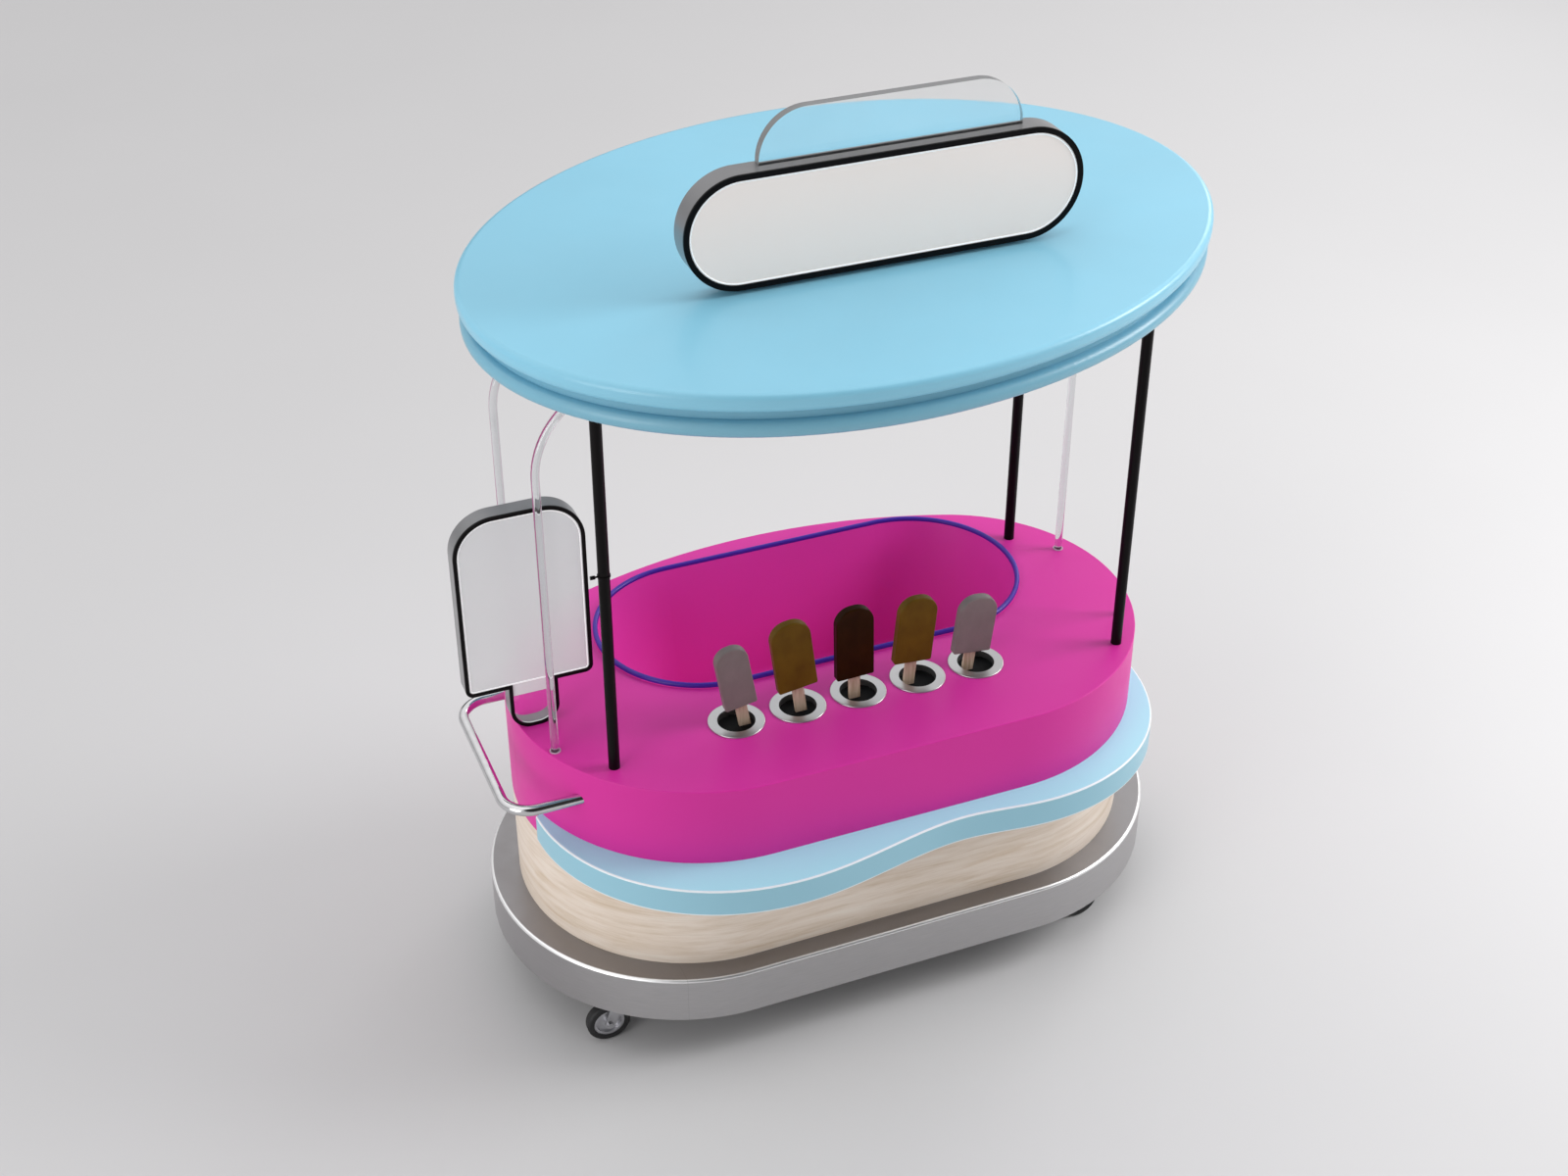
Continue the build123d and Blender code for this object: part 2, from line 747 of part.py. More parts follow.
# Clear arches: rods that slant inwards at their shoulders and run across close under the roof
arch_foot = counter_top - ferrule_depth + ferrule_floor
arch_crown = roof_bottom - arch_rod_diameter / 2 - seat_fit
for arch_name, rod_y in (("arch_front", arch_front_y), ("arch_back", arch_back_y)):
    with BuildPart() as arch:
        with BuildLine():
            FilletPolyline(
                (arch_left_x, rod_y, arch_foot),
                (arch_left_x, rod_y, arch_crown - arch_shoulder_drop),
                (arch_left_x + arch_shoulder_run, rod_y, arch_crown),
                (arch_right_x - arch_shoulder_run, rod_y, arch_crown),
                (arch_right_x, rod_y, arch_crown - arch_shoulder_drop),
                (arch_right_x, rod_y, arch_foot),
                radius=arch_bend_radius,
            )
        with BuildSketch(Plane.XY.offset(arch_foot)):
            with Locations((arch_left_x, rod_y)):
                Circle(arch_rod_diameter / 2)
        sweep()
    save(arch.part, arch_name)

# Arch ferrules: flanged sockets at the four feet of the arches
with BuildPart() as arch_ferrules:
    with BuildSketch(Plane.XY.offset(counter_top)):
        with Locations(*arch_feet):
            Circle(ferrule_flange_diameter / 2)
    extrude(amount=ferrule_flange_thickness)
    with BuildSketch(Plane.XY.offset(counter_top - ferrule_depth)):
        with Locations(*arch_feet):
            Circle(ferrule_sleeve_radius)
    extrude(amount=ferrule_depth)
    with BuildSketch(Plane.XY.offset(arch_foot)):
        with Locations(*arch_feet):
            Circle(arch_rod_diameter / 2 + seat_fit)
    extrude(amount=ferrule_depth + ferrule_flange_thickness, mode=Mode.SUBTRACT)
save(arch_ferrules.part, "arch_ferrules")


# Roof: two oval slabs with a set-back core between them, turned a little on the cart


def roof_oval(inset, mode=Mode.ADD):
    with Locations((roof_centre_x, roof_centre_y)):
        Ellipse(roof_length / 2 - inset, roof_width / 2 - inset, rotation=roof_turn, mode=mode)


with BuildPart() as roof_upper:
    with BuildSketch(Plane.XY.offset(roof_upper_bottom)):
        roof_oval(0)
    extrude(amount=roof_upper_thickness)
    upper_faces = roof_upper.part.faces().sort_by(Axis.Z)
    fillet(upper_faces[-1].edges(), roof_top_edge_radius)
    fillet(roof_upper.part.faces().sort_by(Axis.Z)[0].edges(), roof_under_edge_radius)
    with BuildSketch(Plane.XY.offset(roof_upper_bottom)):
        roof_oval(roof_band_width)
    extrude(amount=roof_upper_thickness - roof_skin, mode=Mode.SUBTRACT)
save(roof_upper.part, "roof_upper")

with BuildPart() as roof_core:
    with BuildSketch(Plane.XY.offset(roof_lower_top)):
        roof_oval(roof_core_inset)
        roof_oval(roof_band_width, Mode.SUBTRACT)
    extrude(amount=roof_core_thickness)
save(roof_core.part, "roof_core")

with BuildPart() as roof_lower:
    with BuildSketch(Plane.XY.offset(roof_bottom)):
        roof_oval(roof_lower_inset)
    extrude(amount=roof_lower_thickness)
    lower_faces = roof_lower.part.faces().sort_by(Axis.Z)
    fillet(lower_faces[0].edges() + lower_faces[-1].edges(), roof_lower_edge_radius)
    with BuildSketch(Plane.XY.offset(roof_bottom + roof_skin)):
        roof_oval(roof_band_width)
    extrude(amount=roof_lower_thickness, mode=Mode.SUBTRACT)
    with BuildSketch(Plane.XY.offset(roof_bottom)):
        with Locations(*post_places.values()):
            Circle(post_boss_diameter / 2)
    extrude(amount=post_socket_depth + roof_skin)
    with BuildSketch(Plane.XY.offset(roof_bottom)):
        with Locations(*post_places.values()):
            Circle(post_diameter / 2 + seat_fit)
    extrude(amount=post_socket_depth, mode=Mode.SUBTRACT)
save(roof_lower.part, "roof_lower")

# Roof sign: a pill-shaped band closed at the back, standing on two feet
sign_plane = upright(sign_front_y, sign_centre_x, sign_middle_z)
crest_y = sign_centre_y + crest_setback
crest_bottom = sign_bottom + sign_height - crest_slot_depth
with BuildPart() as sign_band:
    with BuildSketch(sign_plane.offset(-sign_rim_depth)):
        SlotOverall(sign_length, sign_height)
    extrude(amount=sign_rim_depth - sign_depth)
    with BuildSketch(sign_plane):
        SlotOverall(sign_length - 2 * sign_sheet, sign_height - 2 * sign_sheet)
    extrude(amount=sign_sheet - sign_depth, mode=Mode.SUBTRACT)
    with BuildSketch(Plane.XY.offset(crest_bottom)):
        with Locations((crest_centre_x, crest_y)):
            Rectangle(crest_length + 2 * seat_fit, crest_thickness + 2 * seat_fit)
    extrude(amount=crest_slot_depth, mode=Mode.SUBTRACT)
    with BuildSketch(Plane.XY.offset(roof_height)):
        with Locations((sign_centre_x, sign_centre_y)):
            with GridLocations(sign_foot_spacing, 0, 2, 1):
                Circle(sign_foot_diameter / 2)
    extrude(amount=sign_foot_height + sign_sheet)
save(sign_band.part, "sign_band")

with BuildPart() as sign_rim:
    with BuildSketch(sign_plane):
        SlotOverall(sign_length, sign_height)
        rim_inner = 2 * sign_rim_width
        SlotOverall(sign_length - rim_inner, sign_height - rim_inner, mode=Mode.SUBTRACT)
    extrude(amount=-sign_rim_depth)
save(sign_rim.part, "sign_rim")

with BuildPart() as sign_face:
    with BuildSketch(sign_plane.offset(-sign_face_recess)):
        face_fit = 2 * (sign_rim_width + seat_fit)
        SlotOverall(sign_length - face_fit, sign_height - face_fit)
    extrude(amount=-sign_face_thickness)
save(sign_face.part, "sign_face")

# Sign crest: a clear plate with round shoulders, standing in a slot along the band's top
with BuildPart() as sign_crest:
    crest_height = crest_rise + crest_slot_depth
    with BuildSketch(upright(crest_y, crest_centre_x, crest_bottom)) as crest_profile:
        with Locations((0, crest_height / 2)):
            Rectangle(crest_length, crest_height)
        fillet(crest_profile.vertices().group_by(Axis.Y)[-1], crest_corner_radius)
    extrude(amount=crest_thickness / 2, both=True)
save(sign_crest.part, "sign_crest")

# Menu board: a deep band in the outline of an ice pop, standing on its stick
board_plane = upright(board_front_y, board_centre_x, counter_top)


def board_body(inset):
    with BuildSketch() as profile:
        with Locations((0, board_neck_height + board_body_height / 2)):
            Rectangle(board_width - 2 * inset, board_body_height - 2 * inset)
        fillet(profile.vertices().group_by(Axis.Y)[-1], board_top_radius - inset)
        foot_radius = max(board_foot_radius - inset, board_foot_radius / 4)
        fillet(profile.vertices().group_by(Axis.Y)[0], foot_radius)
    return profile.sketch


def board_neck(inset):
    neck_top = board_neck_height + inset
    with BuildSketch() as profile:
        with Locations((board_neck_shift, (neck_top + inset) / 2)):
            Rectangle(board_neck_width - 2 * inset, neck_top - inset)
        fillet(profile.vertices().group_by(Axis.Y)[0], board_neck_radius - inset)
    return profile.sketch


def board_frame(thickness):
    with BuildSketch() as profile:
        add(board_body(0))
        add(board_neck(0))
        add(board_body(thickness), mode=Mode.SUBTRACT)
        add(board_neck(thickness), mode=Mode.SUBTRACT)
    return profile.sketch


with BuildPart() as board_band:
    with BuildSketch(board_plane.offset(-board_rim_depth)):
        add(board_frame(board_sheet))
    extrude(amount=board_rim_depth - board_depth)
save(board_band.part, "board_band")

with BuildPart() as board_rim:
    with BuildSketch(board_plane):
        add(board_frame(board_rim_width))
    extrude(amount=-board_rim_depth)
save(board_rim.part, "board_rim")

# The white face fills the body and runs a little way down the neck, and the clear window fills the rest
window_top = board_neck_height - board_face_reach
with BuildPart() as board_face:
    with BuildSketch(board_plane.offset(-board_face_recess)):
        add(board_neck(board_rim_width + seat_fit))
        with Locations((0, window_top / 2)):
            Rectangle(board_width, window_top, mode=Mode.SUBTRACT)
        add(board_body(board_rim_width + seat_fit))
    extrude(amount=-board_face_thickness)
save(board_face.part, "board_face")

with BuildPart() as board_window:
    with BuildSketch(board_plane.offset(-board_face_recess)):
        add(board_neck(board_rim_width + seat_fit))
        with Locations((0, window_top - seat_fit + board_neck_height / 2)):
            Rectangle(board_width, board_neck_height, mode=Mode.SUBTRACT)
    extrude(amount=-board_face_thickness)
save(board_window.part, "board_window")

# Push handle: a bent tube whose arms pass through the counter's end wall
front_arm_y = handle_centre_y - handle_arm_spacing / 2
back_arm_y = handle_centre_y + handle_arm_spacing / 2
grip_x = -counter_length / 2 - handle_reach_x


def arm_root_x(arm_y):
    """Where an arm ends, inside the counter's round end."""
    return handle_inside_length - counter_arc_x - sqrt(counter_radius ** 2 - arm_y ** 2)


with BuildPart() as push_handle:
    front_root = (arm_root_x(front_arm_y), front_arm_y, handle_z)
    with BuildLine():
        FilletPolyline(
            front_root,
            (grip_x, front_arm_y, handle_z),
            (grip_x, back_arm_y, handle_z),
            (arm_root_x(back_arm_y), back_arm_y, handle_z),
            radius=handle_bend_radius,
        )
    with BuildSketch(Plane(origin=front_root, x_dir=(0, 1, 0), z_dir=(-1, 0, 0))):
        Circle(handle_tube_diameter / 2)
        Circle(handle_tube_diameter / 2 - handle_tube_wall, mode=Mode.SUBTRACT)
    sweep()
save(push_handle.part, "push_handle")
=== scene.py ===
from math import cos, pi, radians, sin

import bmesh
import bpy
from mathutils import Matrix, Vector


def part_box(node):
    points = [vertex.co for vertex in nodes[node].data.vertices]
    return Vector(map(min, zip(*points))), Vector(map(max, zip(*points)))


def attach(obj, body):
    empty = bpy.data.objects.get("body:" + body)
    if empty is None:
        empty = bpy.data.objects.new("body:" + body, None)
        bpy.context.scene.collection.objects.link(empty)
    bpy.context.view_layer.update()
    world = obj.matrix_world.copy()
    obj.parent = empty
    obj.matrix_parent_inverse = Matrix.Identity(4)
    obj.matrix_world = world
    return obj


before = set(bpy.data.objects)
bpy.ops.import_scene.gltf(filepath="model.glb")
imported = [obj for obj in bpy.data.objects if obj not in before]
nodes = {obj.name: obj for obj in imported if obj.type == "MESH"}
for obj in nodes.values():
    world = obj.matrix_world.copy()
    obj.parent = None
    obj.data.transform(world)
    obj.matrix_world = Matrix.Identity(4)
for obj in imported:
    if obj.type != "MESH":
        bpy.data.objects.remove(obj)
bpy.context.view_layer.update()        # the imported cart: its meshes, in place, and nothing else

# Materials: colour, and mostly roughness and relief too, vary with noise in the piece's own space

WHITE = (1, 1, 1, 1)
EVEN = (1, 1, 1)         # the stretch of a noise that is the same along each axis
NOISE_LOW = 0.3          # most values of a noise lie between these two
NOISE_HIGH = 0.7
EDGE_FADE_IN = 0.12      # how soft the borders of painted edge highlights and level surfaces are
EDGE_FADE_OUT = 0.06
LEVEL_FADE = 0.005
MIX_BELOW = 6            # a Mix node's sockets for two colours and their mix
MIX_ABOVE = 7
MIX_RESULT = 2


def srgb(red, green, blue):
    """A colour given as 0-255 screen values, as linear values."""
    return tuple(
        (c / 255 / 12.92 if c / 255 <= 0.04045 else ((c / 255 + 0.055) / 1.055) ** 2.4)
        for c in (red, green, blue)
    ) + (1.0,)


class Look:
    """A procedural material that is put together layer by layer."""

    def __init__(self, name, color, roughness, metallic=0.0, **sockets):
        self.mat = bpy.data.materials.new(name)
        self.mat.use_nodes = True
        self.mat.diffuse_color = color
        self.tree = self.mat.node_tree
        self.bsdf = self.tree.nodes["Principled BSDF"]
        self.color = color
        self.color_source = None
        self.set("Base Color", color)
        self.set("Roughness", roughness)
        self.set("Metallic", metallic)
        for key, value in sockets.items():
            self.set(key.replace("_", " ").title().replace("Ior", "IOR"), value)

    def set(self, socket, value):
        self.bsdf.inputs[socket].default_value = value

    def node(self, kind, **inputs):
        made = self.tree.nodes.new(kind)
        for key, value in inputs.items():
            made.inputs[key.replace("_", " ")].default_value = value
        return made

    def link(self, output, socket):
        self.tree.links.new(output, socket)

    def coordinates(self, stretch, output="Object"):
        place = self.node("ShaderNodeTexCoord")
        mapping = self.node("ShaderNodeMapping", Scale=stretch)
        self.link(place.outputs[output], mapping.inputs["Vector"])
        return mapping.outputs["Vector"]

    def noise(self, scale, stretch=EVEN, detail=3.0, roughness=0.5, distortion=0.0):
        tex = self.node(
            "ShaderNodeTexNoise", Scale=scale, Detail=detail, Roughness=roughness, Distortion=distortion
        )
        self.link(self.coordinates(stretch), tex.inputs["Vector"])
        return tex.outputs["Fac"]

    def ramp(self, source, stops):
        ramp = self.node("ShaderNodeValToRGB")
        band = ramp.color_ramp
        while len(band.elements) < len(stops):
            band.elements.new(0.5)
        for element, (place, color) in zip(band.elements, stops):
            element.position = place
            element.color = color if len(color) == 4 else tuple(color) + (1.0,)
        self.link(source, ramp.inputs["Fac"])
        return ramp.outputs["Color"]

    def spread(self, source, low, high, start, end, bend="LINEAR"):
        """From start to end as the source goes from low to high."""
        made = self.node("ShaderNodeMapRange", From_Min=low, From_Max=high, To_Min=start, To_Max=end)
        made.interpolation_type = bend
        self.link(source, made.inputs["Value"])
        return made.outputs["Result"]

    def mask(self, source, low, high, start=0.0, end=1.0):
        """The same with soft ends, and from 0 to 1 unless told otherwise."""
        return self.spread(source, low, high, start, end, "SMOOTHSTEP")

    def times(self, a, b):
        made = self.node("ShaderNodeMath")
        made.operation = "MULTIPLY"
        for socket, value in zip(made.inputs, (a, b)):
            if isinstance(value, (int, float)):
                socket.default_value = value
            else:
                self.link(value, socket)
        return made.outputs["Value"]

    def cover(self, source):
        """Takes a source as the colour so far."""
        self.color_source = source
        self.link(source, self.bsdf.inputs["Base Color"])

    def tint(self, source, stops):
        """Colours that follow a source from stop to stop."""
        self.cover(self.ramp(source, stops))

    def paint(self, factor, color):
        """Lays a colour over the colour so far, by a factor."""
        mix = self.node("ShaderNodeMix")
        mix.data_type = "RGBA"
        mix.inputs[MIX_ABOVE].default_value = color
        self.link(factor, mix.inputs["Factor"])
        self.link(self.color_source, mix.inputs[MIX_BELOW])
        self.cover(mix.outputs[MIX_RESULT])

    def cloud(self, amount, scale, stretch=EVEN, detail=3.0):
        """Slightly darker and lighter areas."""
        plain = self.color[:3]
        dark = tuple(c * (1 - amount) for c in plain)
        light = tuple(min(1.0, c * (1 + amount)) for c in plain)
        self.tint(self.noise(scale, stretch, detail), [(NOISE_LOW, dark), (NOISE_HIGH, light)])

    def polish(self, low, high, scale, stretch=EVEN, detail=3.0):
        """Roughness that wanders between two values."""
        wander = self.spread(self.noise(scale, stretch, detail), NOISE_LOW, NOISE_HIGH, low, high)
        self.link(wander, self.bsdf.inputs["Roughness"])

    def relief(self, depth, scale, stretch=EVEN, detail=2.0, strength=1.0):
        """Fine bumps of some depth in metres."""
        bump = self.node("ShaderNodeBump", Strength=strength, Distance=depth)
        self.link(self.noise(scale, stretch, detail), bump.inputs["Height"])
        self.link(bump.outputs["Normal"], self.bsdf.inputs["Normal"])

    def glow(self, strength, color=WHITE):
        """A faint glow painted into the surface, painted light though the piece is no lamp."""
        self.set("Emission Color", color)
        self.set("Emission Strength", strength)

    def axis(self, output, name):
        """One coordinate of the piece's own place or normal."""
        parts = self.node("ShaderNodeSeparateXYZ")
        self.link(self.coordinates(EVEN, output), parts.inputs["Vector"])
        return parts.outputs[name]

    def lean(self, name):
        """How far a surface faces along an axis, either way."""
        made = self.node("ShaderNodeMath")
        made.operation = "ABSOLUTE"
        self.link(self.axis("Normal", name), made.inputs[0])
        return made.outputs["Value"]

    def edge_mask(self, low, high):
        """1 where a surface leans between upright and level, as on a rounded edge."""
        up = self.lean("Z")
        return self.times(
            self.mask(up, low, low + EDGE_FADE_IN), self.mask(up, high, high - EDGE_FADE_OUT)
        )

    def level_mask(self, low):
        """1 where a surface faces straight up."""
        return self.mask(self.axis("Normal", "Z"), low, low + LEVEL_FADE)


def gloss_paint(name, color, roughness, coat, cloud=0.04, shine=0.5):
    look = Look(
        name, color, roughness, coat_weight=coat, coat_roughness=0.12, specular_ior_level=shine
    )
    look.cloud(cloud, scale=1.6)
    look.polish(roughness - 0.03, roughness + 0.06, scale=9)
    look.relief(depth=0.00015, scale=260)
    return look


def metal(name, color, roughness, grain_scale, grain=EVEN):
    look = Look(name, color, roughness, metallic=1.0)
    look.cloud(0.07, grain_scale, grain, detail=4.0)
    look.polish(roughness - 0.06, roughness + 0.08, grain_scale, grain, detail=4.0)
    look.relief(0.00006, grain_scale * 3, grain)
    return look


def clear(name, color, roughness=0.02):
    look = Look(name, color, roughness, transmission_weight=1.0, ior=1.49)
    look.polish(roughness, roughness + 0.03, scale=14)
    look.relief(depth=0.00003, scale=20)
    return look


def pop_look(name, color, dark, shine, roughness):
    look = Look(name, color, roughness, specular_ior_level=shine)
    look.tint(look.noise(18, (1, 1, 0.7), detail=4.0), [(0.25, dark), (0.65, color)])
    look.polish(roughness - 0.08, roughness + 0.1, scale=30)
    look.relief(depth=0.0008, scale=55, detail=3.0, strength=0.5)
    return look


# the near-white of the painted highlights on the slab's edges
SLAB_EDGE_HIGHLIGHT = srgb(240, 246, 250)
SLAB_LOWER_HIGHLIGHT = (0.604, 0.602)     # heights between which the slab's side turns to its painted highlight along the lower edge
CLEAR_TONE = (0.96, 0.975, 0.98, 1)
# the grey of the painted shade on the crest's edges
CREST_EDGE = (0.3, 0.305, 0.31, 1)
CREST_EDGE_CLARITY = 0.35            # how much light still passes the crest's edge
EDGE_LEAN = 0.3                      # the crest's face ends between these two leans
FACE_LEAN = 0.6
SEAM_LEFT = (-0.6211, -0.6208)       # the two soft sides of the seam in the base's steel
SEAM_RIGHT = (-0.6201, -0.6204)
SEAM_STRENGTH = 0.35
SATIN_STRETCH = (1, 1, 6)

blue = gloss_paint("blue_gloss", srgb(138, 204, 229), roughness=0.36, coat=0.15)
# Painted shade: a darker copy of the roof's blue for its groove and lower slab, which are the same paint as
# its top
blue_painted_shade = gloss_paint("blue_painted_shade", srgb(122, 180, 202), roughness=0.38, coat=0.1)
slab_blue = gloss_paint("slab_blue_gloss", srgb(153, 204, 222), roughness=0.34, coat=0.1, cloud=0.012)
# Painted light: the slab's upward faces are a paler blue than its sides
slab_blue.paint(slab_blue.level_mask(0.97), srgb(172, 236, 246))
# Painted highlights: near-white on the slab's rounded top edge and along its lower edge
slab_blue.paint(slab_blue.edge_mask(0.12, 0.99), SLAB_EDGE_HIGHLIGHT)
slab_blue.paint(slab_blue.mask(slab_blue.axis("Object", "Z"), *SLAB_LOWER_HIGHLIGHT), SLAB_EDGE_HIGHLIGHT)
pink = gloss_paint("pink_gloss", srgb(222, 50, 160), roughness=0.4, coat=0.0, cloud=0.03, shine=0.25)
# Painted light: a paler copy of the counter's pink for the well's lining, lifting the shade inside the well
well_pink_painted_light = gloss_paint("well_pink_painted_light", srgb(230, 64, 176), roughness=0.34, coat=0.1, cloud=0.03, shine=0.35)
violet = gloss_paint("violet_gloss", srgb(66, 32, 156), roughness=0.34, coat=0.1, shine=0.3)
black = gloss_paint("black_gloss", srgb(12, 9, 10), roughness=0.34, coat=0.0, cloud=0.2, shine=0.1)
gunmetal = gloss_paint("gunmetal", srgb(136, 136, 138), roughness=0.34, coat=0.3, cloud=0.06)
gunmetal.set("Metallic", 0.6)
face_white = gloss_paint("face_white", srgb(243, 243, 244), roughness=0.12, coat=0.2, cloud=0.02)
face_white.set("Transmission Weight", 0.22)
# Painted light: a faint glow, though the board's face is no lamp
face_white.glow(0.04)
sign_white = gloss_paint(
    "sign_white", srgb(255, 239, 231), roughness=0.34, coat=0.0, cloud=0.015, shine=0.25
)
# Painted light: a faint warm glow, though the sign's face is no lamp
sign_white.glow(0.07, (1, 0.92, 0.89, 1))
# Painted highlight: the white bead round each face, glowing though it is no lamp
line_painted_highlight = gloss_paint("line_painted_highlight", srgb(252, 252, 252), roughness=0.34, coat=0.2, cloud=0.01)
line_painted_highlight.glow(0.25)

acrylic = clear("clear_acrylic", CLEAR_TONE)
rod_acrylic = clear("rod_acrylic", (0.8, 0.81, 0.825, 1), roughness=0.04)
rod_acrylic.set("Coat Weight", 0.5)
rod_acrylic.set("Coat Roughness", 0.05)
crest_acrylic = clear("crest_acrylic", CLEAR_TONE)
crest_acrylic.tint(
    crest_acrylic.noise(12), [(NOISE_LOW, (0.95, 0.965, 0.97)), (NOISE_HIGH, (0.97, 0.985, 0.99))]
)
# Painted shade: grey on the crest's edges, with less light let through, standing in for the light the clear
# edges turn back inside
crest_acrylic.paint(crest_acrylic.mask(crest_acrylic.lean("Y"), FACE_LEAN, EDGE_LEAN), CREST_EDGE)
crest_clarity = crest_acrylic.mask(
    crest_acrylic.lean("Y"), EDGE_LEAN, FACE_LEAN, start=CREST_EDGE_CLARITY
)
crest_acrylic.link(crest_clarity, crest_acrylic.bsdf.inputs["Transmission Weight"])
frosted = Look("frosted_ferrule", srgb(200, 166, 188), roughness=0.35, coat_weight=0.2)
frosted.cloud(0.04, scale=40)
frosted.polish(0.3, 0.42, scale=30)
frosted.relief(depth=0.00005, scale=200)

chrome = metal("chrome", (0.66, 0.66, 0.67, 1), roughness=0.08, grain_scale=30)
zinc = metal("zinc", (0.55, 0.55, 0.57, 1), roughness=0.36, grain_scale=45)
satin = Look("satin_steel", (0.58, 0.57, 0.57, 1), roughness=0.34, metallic=1.0)
satin.cloud(0.03, scale=30, stretch=SATIN_STRETCH)
satin.polish(0.3, 0.38, scale=30, stretch=SATIN_STRETCH)
satin.relief(depth=0.00002, scale=90)
steel = metal("brushed_steel", (0.47, 0.46, 0.465, 1), roughness=0.36, grain_scale=45, grain=(0.4, 0.4, 14))
# Painted shade: the steel's upward faces are darker than its sides
steel.paint(steel.level_mask(0.99), (0.29, 0.28, 0.285, 1))
# Painted highlight: near-white on the steel's rounded top edge
steel.paint(steel.edge_mask(0.1, 0.99), (0.95, 0.95, 0.95, 1))
along = steel.axis("Object", "X")
seam = steel.times(steel.mask(along, *SEAM_LEFT), steel.mask(along, *SEAM_RIGHT))
steel.paint(steel.times(seam, SEAM_STRENGTH), (0.12, 0.12, 0.12, 1))

wood = Look("pale_wood", srgb(224, 212, 196), roughness=0.45, coat_weight=0.1, coat_roughness=0.25)
wood.tint(
    wood.noise(3.6, (1.2, 1.2, 12), detail=6.0, roughness=0.62, distortion=0.25),
    [
        (0.28, srgb(217, 197, 172)),
        (0.42, srgb(230, 213, 195)),
        (0.55, srgb(238, 223, 208)),
        (0.75, srgb(244, 233, 220)),
    ],
)
fine_lines = wood.mask(wood.noise(70, (0.14, 0.14, 5)), 0.52, 0.75)
wood.paint(wood.times(fine_lines, 0.3), srgb(196, 174, 146))
broad_lines = wood.mask(wood.noise(3.2, (1, 1, 9), distortion=0.6), 0.6, 0.72)
wood.paint(wood.times(broad_lines, 0.36), srgb(204, 176, 140))
wood.polish(0.38, 0.52, scale=8, stretch=(0.3, 0.3, 8))
wood.relief(depth=0.00015, scale=70, stretch=(0.1, 0.1, 6), detail=4.0, strength=0.6)

stick = Look("stick_wood", srgb(196, 170, 150), roughness=0.6)
stick.tint(
    stick.noise(30, (6, 6, 0.5), detail=5.0),
    [(NOISE_LOW, srgb(170, 140, 116)), (NOISE_HIGH, srgb(208, 184, 164))],
)
stick.relief(depth=0.0003, scale=90, stretch=(8, 8, 0.5))
pop_grey = pop_look("pop_grey", srgb(128, 117, 115), srgb(116, 105, 103), shine=0.25, roughness=0.45)
pop_gold = pop_look("pop_gold", srgb(102, 75, 15), srgb(84, 59, 9), shine=0.1, roughness=0.4)
pop_chocolate = pop_look("pop_chocolate", srgb(46, 23, 3), srgb(33, 15, 2), shine=0.05, roughness=0.36)

tyre = Look("tyre_black", srgb(30, 30, 31), roughness=0.6)
tyre.cloud(0.25, scale=40)
tyre.relief(depth=0.0004, scale=300)
hub = Look("wheel_grey", srgb(196, 196, 200), roughness=0.32, metallic=0.7)
hub.cloud(0.06, scale=50)
hub.relief(depth=0.0001, scale=200)
insert_black = Look("insert_black", srgb(10, 9, 9), roughness=0.7, specular_ior_level=0.15)
insert_black.cloud(0.3, scale=60)
insert_black.relief(depth=0.0003, scale=180)
jacket = Look("jacket_white", srgb(205, 205, 205), roughness=0.6)
jacket.cloud(0.05, scale=10)
jacket.relief(depth=0.0003, scale=120)
frame_paint = gloss_paint("frame_grey", srgb(96, 97, 99), roughness=0.45, coat=0.1)

# Which piece has which material

looks = {
    "base_shell": steel,
    "base_frame": frame_paint,
    "caster_plates": zinc,
    "cabinet_wall": wood,
    "wave_slab": slab_blue,
    "counter_shell": pink,
    "well_liner": well_pink_painted_light,
    "well_jacket": jacket,
    "well_bead": violet,
    "cup_inserts": insert_black,
    "arch_front": rod_acrylic,
    "arch_back": rod_acrylic,
    "arch_ferrules": frosted,
    "roof_upper": blue,
    "roof_core": blue_painted_shade,
    "roof_lower": blue_painted_shade,
    "sign_band": gunmetal,
    "sign_rim": black,
    "sign_face": sign_white,
    "sign_crest": crest_acrylic,
    "board_band": gunmetal,
    "board_rim": black,
    "board_face": face_white,
    "board_window": acrylic,
    "push_handle": chrome,
}
for name in nodes:
    if name.startswith("ring_cup"):
        looks[name] = satin
    elif name.startswith("post_"):
        looks[name] = black
    elif name.endswith("_stick"):
        looks[name] = stick
    elif name.endswith(("_fork", "_axle")):
        looks[name] = zinc
    elif name.endswith("_wheel"):
        looks[name] = hub
    elif name.endswith("_tyre"):
        looks[name] = tyre
for number, look in enumerate((pop_grey, pop_gold, pop_chocolate, pop_gold, pop_grey), 1):
    looks[f"pop_{number}_bar"] = look
for name, obj in nodes.items():
    obj.data.materials.clear()
    obj.data.materials.append(looks[name].mat)

# Painted highlight: a fine white line round each white face, inside its black rim

CORNER_STEPS = 16
LINE_RINGS = 6
LINE_WIDTH = 0.0045
LINE_RISE = 0.0014       # how far the line stands out of the face
LINE_SINK = 0.0004       # how far it reaches into the face
LINE_INSET = 0.0006      # how far it stays inside the face's border
WELD = 0.00001           # points closer than this become one
BOARD_TAB = 0.0373       # how far the board's face runs down into its neck
BOARD_ROUNDS = (0.0997, 0.0997, 0.0117, 0.0117)


